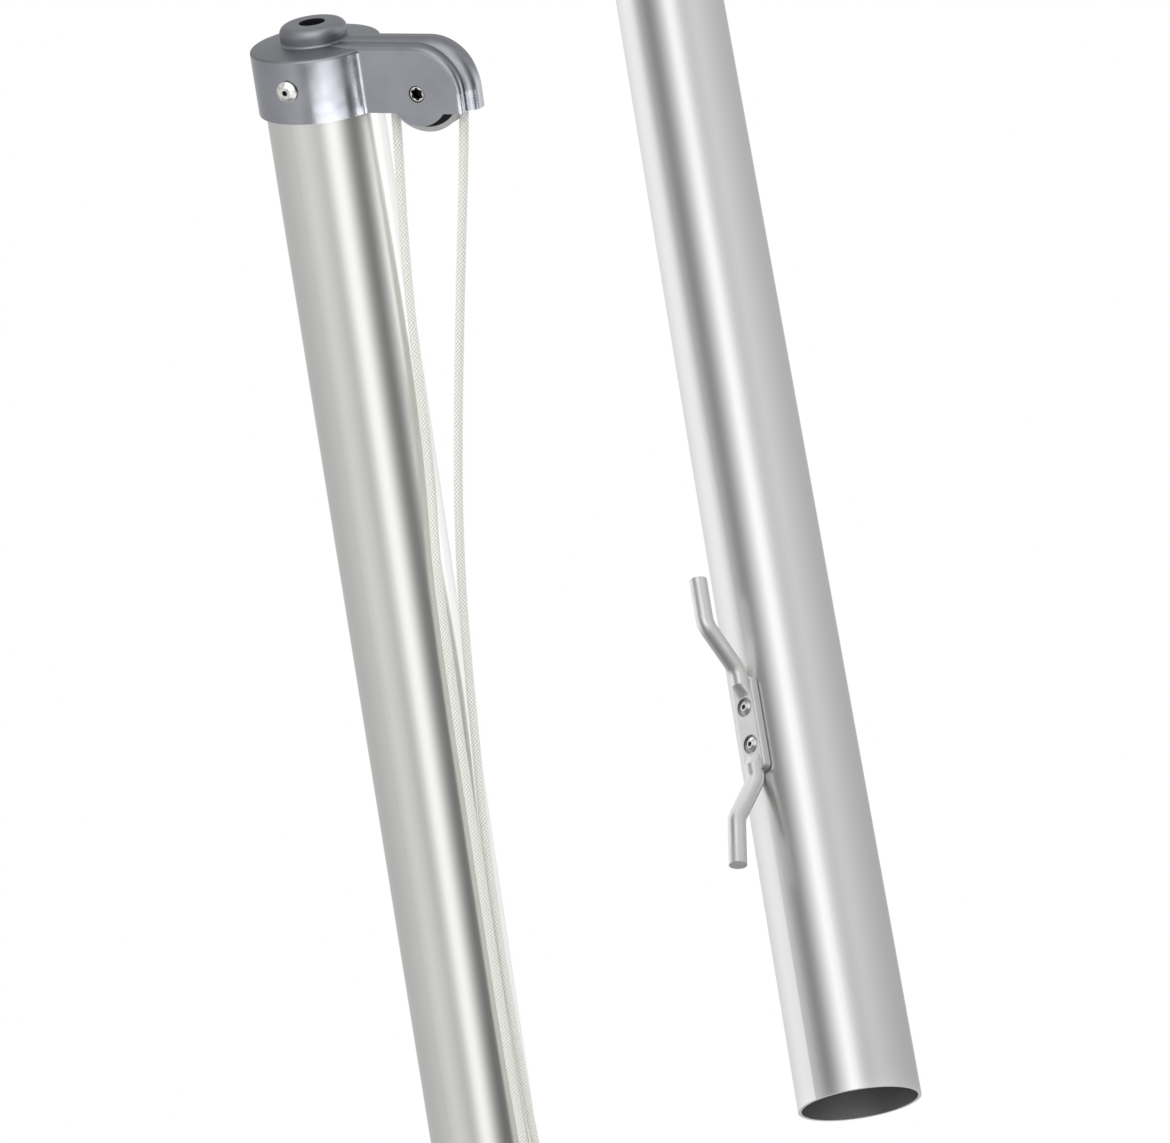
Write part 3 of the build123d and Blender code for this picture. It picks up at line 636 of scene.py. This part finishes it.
# painted shade: a dark six-lobed star on the axle bolt's near head stands in for its socket
fromAxle, starRadius = fromAxleLine(tree, place)
parts = addNode(tree, "ShaderNodeSeparateXYZ", None, None, {"Vector": fromAxle.outputs["Vector"]})
turn = addNode(tree, "ShaderNodeMath", {"operation": "ARCTAN2"}, None,
    {0: parts.outputs["Z"], 1: parts.outputs["X"]})
lobeTurns = addNode(tree, "ShaderNodeMath", multiply, {1: screwFinish["starLobes"]},
    {0: turn.outputs[0]})
lobes = addNode(tree, "ShaderNodeMath", {"operation": "COSINE"}, None, {0: lobeTurns.outputs[0]})
lobed = addNode(tree, "ShaderNodeMath", multiplyAdd, {1: screwFinish["starLobe"]},
    {0: lobes.outputs[0], 2: starRadius.outputs["Value"]})
inStar = addNode(tree, "ShaderNodeMath", lessThan, {1: screwFinish["starRadius"]},
    {0: lobed.outputs[0]})
nearSide = addNode(tree, "ShaderNodeMath", lessThan, {1: 0.0}, {0: parts.outputs["Y"]})
star = addNode(tree, "ShaderNodeMath", multiply, None,
    {0: inStar.outputs[0], 1: nearSide.outputs[0]})
starShade = addNode(tree, "ShaderNodeMapRange", None,
    {"To Min": 1.0, "To Max": screwFinish["starShade"]}, {"Value": star.outputs[0]})
paintedShade = addNode(tree, "ShaderNodeMath", multiply, None,
    {0: paintedShelterShade.outputs[0], 1: starShade.outputs["Result"]})
withPaintedShade = addNode(tree, "ShaderNodeMix", shadeColour, {"Factor": 1.0},
    {"A": colour.outputs["Result"], "B": paintedShade.outputs[0]})
gloss = addNode(tree, "ShaderNodeMapRange", None,
    {**noiseSpan, "To Min": screwFinish["roughness"][0], "To Max": screwFinish["roughness"][1]},
    {"Value": cloud.outputs["Fac"]})
bump = addNode(tree, "ShaderNodeBump", None, screwFinish["bump"],
    {"Height": marks.outputs["Distance"]})
shader = addNode(tree, "ShaderNodeBsdfPrincipled", None, {"Metallic": 1.0},
    {"Base Color": withPaintedShade.outputs["Result"], "Roughness": gloss.outputs["Result"],
     "Normal": bump.outputs["Normal"]})
addNode(tree, "ShaderNodeOutputMaterial", None, None, {"Surface": shader.outputs["BSDF"]})

# the same steel painted nearly black for the cleat's screws: painted shade of the recesses they sit
# in
recessShadedStainless = headedStainless.copy()
recessShadedStainless.name = "soiledStainlessSteel"
recessShadedTone = recessShadedStainless.node_tree.nodes["tone"]
recessShadedTone.inputs["A"].default_value = toLinear(screwFinish["soiledDark"])
recessShadedTone.inputs["B"].default_value = toLinear(screwFinish["soiledLight"])
print("metals made")

# Braided polyester halyard: matt white strands that pass over and under, greyer in the hollows
# between them as painted shade, with a little light passing through. Each strand's yarns are
# 0.15 mm; three are shown to a strand.
braidFinish = {
    "crown": "#F4F4F0", "hollow": "#C2C2BA", "roughness": 0.72, "crownSpan": 0.6,
    "yarns": 3.0, "yarnHeight": 0.12, "soil": {1: 1.6, 2: -0.85},
    "soilScale": 3.0,  # patches across a strand
    "passing": {"Subsurface Weight": 0.5, "Subsurface Radius": (1.0, 1.0, 1.0),
                "Subsurface Scale": 0.0015},
    "bump": {"Strength": 0.5, "Distance": 0.0003},
}
polyesterBraid, tree = newMaterial("braidedPolyester")
pattern = addNode(tree, "ShaderNodeUVMap", {"uv_map": "braid"})
parts = addNode(tree, "ShaderNodeSeparateXYZ", None, None, {"Vector": pattern.outputs["UV"]})
roundPlace = addNode(tree, "ShaderNodeMath", multiply, {1: 2 * math.pi}, {0: parts.outputs["X"]})
alongPlace = addNode(tree, "ShaderNodeMath", multiply, {1: 2 * math.pi}, {0: parts.outputs["Y"]})
roundWave = addNode(tree, "ShaderNodeMath", {"operation": "COSINE"}, None,
    {0: roundPlace.outputs[0]})
alongWave = addNode(tree, "ShaderNodeMath", {"operation": "COSINE"}, None,
    {0: alongPlace.outputs[0]})
crowns = addNode(tree, "ShaderNodeMath", multiply, None,
    {0: roundWave.outputs[0], 1: alongWave.outputs[0]})
crownShare = addNode(tree, "ShaderNodeMapRange", None,
    {"From Min": -braidFinish["crownSpan"], "From Max": braidFinish["crownSpan"]},
    {"Value": crowns.outputs[0]})
slant = addNode(tree, "ShaderNodeMath", {"operation": "ADD"}, None,
    {0: roundPlace.outputs[0], 1: alongPlace.outputs[0]})
yarnPlace = addNode(tree, "ShaderNodeMath", multiply, {1: braidFinish["yarns"]},
    {0: slant.outputs[0]})
yarns = addNode(tree, "ShaderNodeMath", {"operation": "SINE"}, None, {0: yarnPlace.outputs[0]})
fuzz = addNode(tree, "ShaderNodeTexNoise", None,
    {"Scale": braidFinish["soilScale"], "Detail": 3.0, "Roughness": 0.7},
    {"Vector": pattern.outputs["UV"]})
soil = addNode(tree, "ShaderNodeMath", multiplyAdd, braidFinish["soil"], {0: fuzz.outputs["Fac"]})
tone = addNode(tree, "ShaderNodeMath", {"operation": "ADD", "use_clamp": True}, None,
    {0: crownShare.outputs["Result"], 1: soil.outputs[0]})
# painted shade: the hollows between the crowns get the greyer colour
colour = addNode(tree, "ShaderNodeMix", mixColours,
    {"A": toLinear(braidFinish["hollow"]), "B": toLinear(braidFinish["crown"])},
    {"Factor": tone.outputs[0]})
height = addNode(tree, "ShaderNodeMath", multiplyAdd, {1: braidFinish["yarnHeight"]},
    {0: yarns.outputs[0], 2: crownShare.outputs["Result"]})
bump = addNode(tree, "ShaderNodeBump", None, braidFinish["bump"], {"Height": height.outputs[0]})
shader = addNode(tree, "ShaderNodeBsdfPrincipled", None,
    {"Roughness": braidFinish["roughness"], "IOR": 1.57, "Sheen Weight": 0.15,
     **braidFinish["passing"]},
    {"Base Color": colour.outputs["Result"], "Normal": bump.outputs["Normal"]})
addNode(tree, "ShaderNodeOutputMaterial", None, None, {"Surface": shader.outputs["BSDF"]})

# Woven nylon hook-and-loop webbing: near black ribs across the band, darker between them as painted
# shade, a tight edge each side.
# Ribs are 0.5 mm apart; shown at 1 mm. Pattern places are millimetres along and across the band.
webFinish = {
    "rib": "#2A2A2C", "hollow": "#141416", "ribSpacing": 1.0, "roughness": 0.8, "lint": 1.25,
    "bump": {"Strength": 0.6, "Distance": 0.0002},
}
nylonWebbing, tree = newMaterial("wovenNylonWebbing")
pattern = addNode(tree, "ShaderNodeUVMap", {"uv_map": "weave"})
parts = addNode(tree, "ShaderNodeSeparateXYZ", None, None, {"Vector": pattern.outputs["UV"]})
ribPlace = addNode(tree, "ShaderNodeMath", multiply, {1: 2 * math.pi / webFinish["ribSpacing"]},
    {0: parts.outputs["X"]})
warpPlace = addNode(tree, "ShaderNodeMath", multiply, {1: 2 * math.pi / webFinish["ribSpacing"]},
    {0: parts.outputs["Y"]})
ribs = addNode(tree, "ShaderNodeMath", {"operation": "SINE"}, None, {0: ribPlace.outputs[0]})
warps = addNode(tree, "ShaderNodeMath", {"operation": "SINE"}, None, {0: warpPlace.outputs[0]})
weave = addNode(tree, "ShaderNodeMath", multiply, None, {0: ribs.outputs[0], 1: warps.outputs[0]})
share = addNode(tree, "ShaderNodeMapRange", None, {"From Min": -1.0, "From Max": 1.0},
    {"Value": weave.outputs[0]})
lint = addNode(tree, "ShaderNodeTexNoise", None,
    {"Scale": 1 / webFinish["lint"], "Detail": 4.0, "Roughness": 0.7},
    {"Vector": pattern.outputs["UV"]})
tone = addNode(tree, "ShaderNodeMath", multiply, None,
    {0: share.outputs["Result"], 1: lint.outputs["Fac"]})
# painted shade: the low places of the weave get the darker colour
colour = addNode(tree, "ShaderNodeMix", mixColours,
    {"A": toLinear(webFinish["hollow"]), "B": toLinear(webFinish["rib"])},
    {"Factor": tone.outputs[0]})
bump = addNode(tree, "ShaderNodeBump", None, webFinish["bump"], {"Height": share.outputs["Result"]})
shader = addNode(tree, "ShaderNodeBsdfPrincipled", None,
    {"Roughness": webFinish["roughness"], "IOR": 1.53, "Sheen Weight": 0.3},
    {"Base Color": colour.outputs["Result"], "Normal": bump.outputs["Normal"]})
addNode(tree, "ShaderNodeOutputMaterial", None, None, {"Surface": shader.outputs["BSDF"]})

finishes = {
    "pole_tube": satinTube, "truck_body": tumbledCasting, "cleat": stonedRod, "sheave": turnedWheel,
    "cleat_screw_upper": recessShadedStainless, "cleat_screw_lower": recessShadedStainless,
}
for name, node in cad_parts.items():
    node.data.materials.clear()
    node.data.materials.append(finishes.get(name, headedStainless))
for piece in (halyard, knot):
    piece.data.materials.append(polyesterBraid)
for piece in (strap, strapLap):
    piece.data.materials.append(nylonWebbing)
print("rope and webbing made")

# Floor: a pale painted disc that fades towards its rim, open under the pole's end so that light
# reaches inside. Only its upper side shows, because the foot is also looked at from below; metals
# mirror it darker than it is.
floorDisc = {
    "hole": 0.036, "rings": (0.05, 0.2, 0.75), "radius": 1.1, "spokes": 96, "level": -0.0004,
    "fadeFrom": 0.225, "colour": "#F1F1EF", "mirrored": 0.25, "speckle": 0.004,
    "bump": {"Strength": 0.1, "Distance": 0.0002},
}
rings = (floorDisc["hole"], *floorDisc["rings"], floorDisc["radius"])
spokes = floorDisc["spokes"]
vertices = [(radius * math.cos(2 * math.pi * i / spokes),
             radius * math.sin(2 * math.pi * i / spokes), floorDisc["level"])
            for radius in rings for i in range(spokes)]
faces = [(ring * spokes + i, (ring + 1) * spokes + i, (ring + 1) * spokes + (i + 1) % spokes,
          ring * spokes + (i + 1) % spokes)
         for ring in range(len(rings) - 1) for i in range(spokes)]
floorMesh = bpy.data.meshes.new("studioFloor")
floorMesh.from_pydata(vertices, [], faces)
addToScene("studioFloor", floorMesh)
paintedFloor, tree = newMaterial("paintedFloor")
place = addNode(tree, "ShaderNodeTexCoord")
speckle = addNode(tree, "ShaderNodeTexNoise", None,
    {"Scale": 1 / floorDisc["speckle"], "Detail": 2.0}, {"Vector": place.outputs["Object"]})
bump = addNode(tree, "ShaderNodeBump", None, floorDisc["bump"], {"Height": speckle.outputs["Fac"]})
rays = addNode(tree, "ShaderNodeLightPath")
mirrorShade = addNode(tree, "ShaderNodeMapRange", None,
    {"To Min": 1.0, "To Max": floorDisc["mirrored"]}, {"Value": rays.outputs["Is Glossy Ray"]})
floorColour = addNode(tree, "ShaderNodeMix", shadeColour,
    {"Factor": 1.0, "A": toLinear(floorDisc["colour"])}, {"B": mirrorShade.outputs["Result"]})
paint = addNode(tree, "ShaderNodeBsdfDiffuse", None, {"Roughness": 0.9},
    {"Color": floorColour.outputs["Result"], "Normal": bump.outputs["Normal"]})
fromMiddle = addNode(tree, "ShaderNodeVectorMath", vectorLength, None, {0: place.outputs["Object"]})
fade = addNode(tree, "ShaderNodeMapRange", smoothStep,
    {"From Min": floorDisc["fadeFrom"], "From Max": floorDisc["radius"]},
    {"Value": fromMiddle.outputs["Value"]})
side = addNode(tree, "ShaderNodeNewGeometry")
hidden = addNode(tree, "ShaderNodeMath", {"operation": "MAXIMUM"}, None,
    {0: side.outputs["Backfacing"], 1: fade.outputs["Result"]})
clear = addNode(tree, "ShaderNodeBsdfTransparent")
laid = addNode(tree, "ShaderNodeMixShader", None, None,
    {"Fac": hidden.outputs[0], 1: paint.outputs["BSDF"], 2: clear.outputs["BSDF"]})
addNode(tree, "ShaderNodeOutputMaterial", None, None, {"Surface": laid.outputs["Shader"]})
floorMesh.materials.append(paintedFloor)

# Light: a tent of pale cloth with darker gaps, given as level by compass direction in degrees, for
# its lower and its upper half. One gap is deeper away from the horizon. The crown of the tent is
# brighter and its ground dimmer.
tent = {
    "lower": [(-180, 1.1), (-150, 0.7), (-112, 0.6), (-80, 0.62), (-45, 0.74), (-15, 0.95),
              (8, 0.55), (18, 0.68), (30, 1.46), (42, 1.62), (52, 1.15), (66, 0.4), (78, 0.16),
              (90, 0.2), (102, 0.56), (114, 1.3), (125, 1.9), (135, 1.75), (148, 1.4), (160, 1.25)],
    "upper": [(-180, 0.9), (-150, 0.75), (-112, 0.67), (-80, 0.67), (-45, 0.85), (-15, 1.15),
              (8, 1.3), (18, 1.38), (30, 1.42), (42, 1.3), (52, 1.0), (66, 0.48), (78, 0.24),
              (90, 0.26), (100, 0.7), (114, 1.25), (125, 1.95), (135, 1.6), (148, 0.8),
              (160, 0.72)],
    "seam": 0.15,  # half the height over which the halves blend
    "gap": (25, 145), "gapDepth": 0.6, "steepFrom": 0.39, "steepTo": 0.57,
    "crown": 1.2, "ground": 0.5, "ends": (0.75, 0.9),
}
world = bpy.data.worlds.new("lightTent")
bpy.context.scene.world = world
world.use_nodes = True
tree = world.node_tree
tree.nodes.clear()
direction = addNode(tree, "ShaderNodeTexCoord")
parts = addNode(tree, "ShaderNodeSeparateXYZ", None, None,
    {"Vector": direction.outputs["Generated"]})
minusY = addNode(tree, "ShaderNodeMath", multiply, {1: -1.0}, {0: parts.outputs["Y"]})
turn = addNode(tree, "ShaderNodeMath", {"operation": "ARCTAN2"}, None,
    {0: parts.outputs["X"], 1: minusY.outputs[0]})
along = addNode(tree, "ShaderNodeMapRange", None, {"From Min": -math.pi, "From Max": math.pi},
    {"Value": turn.outputs[0]})
ramps = []
for name in ("lower", "upper"):
    ramp = addNode(tree, "ShaderNodeValToRGB", None, None, {"Fac": along.outputs["Result"]})
    stops = ramp.color_ramp.elements
    bands = tent[name] + [(180, tent[name][0][1])]
    while len(stops) < len(bands):
        stops.new(0.5)
    for stop, (azimuth, level) in zip(stops, bands):
        stop.position = (azimuth + 180) / 360
        stop.color = (level, level, level, 1)
    ramps.append(ramp)
half = addNode(tree, "ShaderNodeMapRange", None,
    {"From Min": -tent["seam"], "From Max": tent["seam"]}, {"Value": parts.outputs["Z"]})
wall = addNode(tree, "ShaderNodeMix", mixColours, None,
    {"Factor": half.outputs["Result"], "A": ramps[0].outputs["Color"],
     "B": ramps[1].outputs["Color"]})
gapMiddle = sum(tent["gap"]) / 720 + 0.5  # as a share of the turn from -180 to 180
fromGap = addNode(tree, "ShaderNodeMath", {"operation": "SUBTRACT"}, {1: gapMiddle},
    {0: along.outputs["Result"]})
offGap = addNode(tree, "ShaderNodeMath", absolute, None, {0: fromGap.outputs[0]})
gapShare = addNode(tree, "ShaderNodeMapRange", smoothStep,
    {"From Min": (tent["gap"][1] - tent["gap"][0]) / 720, "From Max": 0.0},
    {"Value": offGap.outputs[0]})
offHorizon = addNode(tree, "ShaderNodeMath", absolute, None, {0: parts.outputs["Z"]})
steepness = addNode(tree, "ShaderNodeMapRange", None,
    {"From Min": tent["steepFrom"], "From Max": tent["steepTo"], "To Max": tent["gapDepth"]},
    {"Value": offHorizon.outputs[0]})
darker = addNode(tree, "ShaderNodeMath", multiply, None,
    {0: gapShare.outputs["Result"], 1: steepness.outputs["Result"]})
wall = addNode(tree, "ShaderNodeMix", mixColours, {"B": (0, 0, 0, 1)},
    {"Factor": darker.outputs[0], "A": wall.outputs["Result"]})
overhead = addNode(tree, "ShaderNodeMapRange", None,
    {"From Min": tent["ends"][0], "From Max": tent["ends"][1]}, {"Value": parts.outputs["Z"]})
withCrown = addNode(tree, "ShaderNodeMix", mixColours, {"B": (*[tent["crown"]] * 3, 1)},
    {"Factor": overhead.outputs["Result"], "A": wall.outputs["Result"]})
below = addNode(tree, "ShaderNodeMapRange", None,
    {"From Min": -tent["ends"][0], "From Max": -tent["ends"][1]}, {"Value": parts.outputs["Z"]})
allRound = addNode(tree, "ShaderNodeMix", mixColours, {"B": (*[tent["ground"]] * 3, 1)},
    {"Factor": below.outputs["Result"], "A": withCrown.outputs["Result"]})
rays = addNode(tree, "ShaderNodeLightPath")
seen = addNode(tree, "ShaderNodeMath", {"operation": "MAXIMUM"}, None,
    {0: rays.outputs["Is Camera Ray"], 1: rays.outputs["Is Transmission Ray"]})
shown = addNode(tree, "ShaderNodeMix", mixColours, {"B": (1, 1, 1, 1)},
    {"Factor": seen.outputs[0], "A": allRound.outputs["Result"]})
tentLight = addNode(tree, "ShaderNodeBackground", None, None, {"Color": shown.outputs["Result"]})
addNode(tree, "ShaderNodeOutputWorld", None, None, {"Surface": tentLight.outputs["Background"]})

# Lamps: a high softbox that spares the cleat, two strips that only the truck mirrors in its cap and
# rims, and a fill that only the rope gets, from behind the pole, so that its side towards the pole
# stays pale.
lamps = {
    "highSoftbox": {"from": (0.75, -1.35, capBase + 1.9), "at": (0.0, 0.0, capBase - 0.4),
                    "size": (2.6, 2.6), "spread": 180.0, "watts": 34.0, "spares": ["cleat"]},
    "truckStrip": {"from": (0.321, -0.383, capBase - 0.19), "at": (0.0, 0.0, capBase + 0.015),
                   "size": (0.56, 0.06), "spread": 90.0, "watts": 0.2, "lights": ["truck_body"]},
    "rootStrip": {"from": (0.5, 0.01, capBase - 0.19), "at": (0.0, 0.0, capBase + 0.015),
                  "size": (0.08, 0.06), "spread": 120.0, "watts": 0.2, "lights": ["truck_body"]},
    "ropeFill": {"from": (-1.0, 0.4, capBase - 0.35), "at": (0.03, -0.01, capBase - 0.35),
                 "size": (1.2, 1.6), "spread": 180.0, "watts": 10.0,
                 "lights": ["halyard", "knot"], "through": ["pole_tube"]},
}
linkable = dict(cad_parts, halyard=halyard, knot=knot)
for name, lamp in lamps.items():
    lampData = bpy.data.lights.new(name, "AREA")
    lampData.shape = "RECTANGLE"
    lampData.size, lampData.size_y = lamp["size"]
    lampData.energy = lamp["watts"]
    lampData.spread = math.radians(lamp["spread"])
    lampHolder = addToScene(name, lampData)
    lampHolder.location = lamp["from"]
    aim = Vector(lamp["at"]) - Vector(lamp["from"])
    lampHolder.rotation_euler = aim.to_track_quat("-Z", "Y").to_euler()
    lampHolder.visible_camera = False
    for role, linked in (("receiver_collection", lamp.get("lights", lamp.get("spares"))),
                         ("blocker_collection", lamp.get("through"))):
        if not linked:
            continue
        group = bpy.data.collections.new(name + role)
        for node in linked:
            group.objects.link(linkable[node])
        setattr(lampHolder.light_linking, role, group)
        if "lights" not in lamp or role == "blocker_collection":
            for entry in group.collection_objects:
                entry.light_linking.link_state = "EXCLUDE"
bpy.context.scene.view_settings.view_transform = "Standard"
print("floor and light set")
